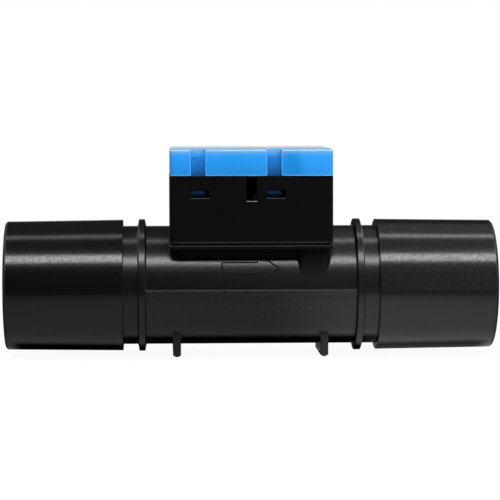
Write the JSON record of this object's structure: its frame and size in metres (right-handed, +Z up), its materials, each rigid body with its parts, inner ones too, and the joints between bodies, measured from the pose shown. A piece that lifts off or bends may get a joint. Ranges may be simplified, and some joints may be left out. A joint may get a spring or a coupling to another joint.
{
  "type": "gas mass flow sensor",
  "caption": "Gas mass flow sensor: straight tube with a tapered connector at each end, two foot ribs, and a housing with sensing board and clip-on lid on its saddle.",
  "frame": {"origin": "under the middle of the tube, on the plane that the two feet stand on", "axes": "+X along the tube in the direction of flow, from inlet to outlet; -Y is the front, seen in the picture; +Z up, from the feet to the lid"},
  "size_m": [0.0834, 0.0226, 0.0356],
  "materials": {
    "tube_plastic": "fine texture, slightly glossy dark grey",
    "screen_steel": "etched stainless steel",
    "ring_plastic": "matt dark grey",
    "restrictor_plastic": "natural off-white",
    "seal_rubber": "matt black",
    "block_plastic": "matt grey",
    "board_laminate": "green solder mask",
    "sensor_ceramic": "grey ceramic",
    "chip_plastic": "matt black moulding",
    "capacitor_ceramic": "tan ceramic",
    "resistor_ceramic": "black film on ceramic",
    "shroud_plastic": "natural nylon",
    "pin_metal": "tinned",
    "screw_steel": "zinc plated",
    "housing_plastic": "matt black",
    "cap_plastic": "satin bright blue"
  },
  "bodies": {
    "sensor": {"flow_tube": "tube_plastic", "inlet_mesh": "screen_steel", "outlet_mesh": "screen_steel", "inlet_mesh_ring": "ring_plastic", "outlet_mesh_ring": "ring_plastic", "flow_restrictor": "restrictor_plastic", "tap_seals": "seal_rubber", "bypass_block": "block_plastic", "channel_gasket": "seal_rubber", "circuit_board": "board_laminate", "flow_chip": "sensor_ceramic", "signal_chip": "chip_plastic", "memory_chip": "chip_plastic", "voltage_regulator": "chip_plastic", "capacitors": "capacitor_ceramic", "resistors": "resistor_ceramic", "connector_shroud": "shroud_plastic", "connector_pins": "pin_metal", "board_screws": "screw_steel", "sensor_housing": "housing_plastic"},
    "lid": {"cap": "cap_plastic", "cap_snap_arms": "cap_plastic"}
  },
  "joints": [
    {"name": "cap_lift", "type": "slide", "parent": "sensor", "child": "lid", "axis": [0, 0, 1], "range_m": [0, 0.015], "deforming": ["cap_snap_arms"]}
  ]
}
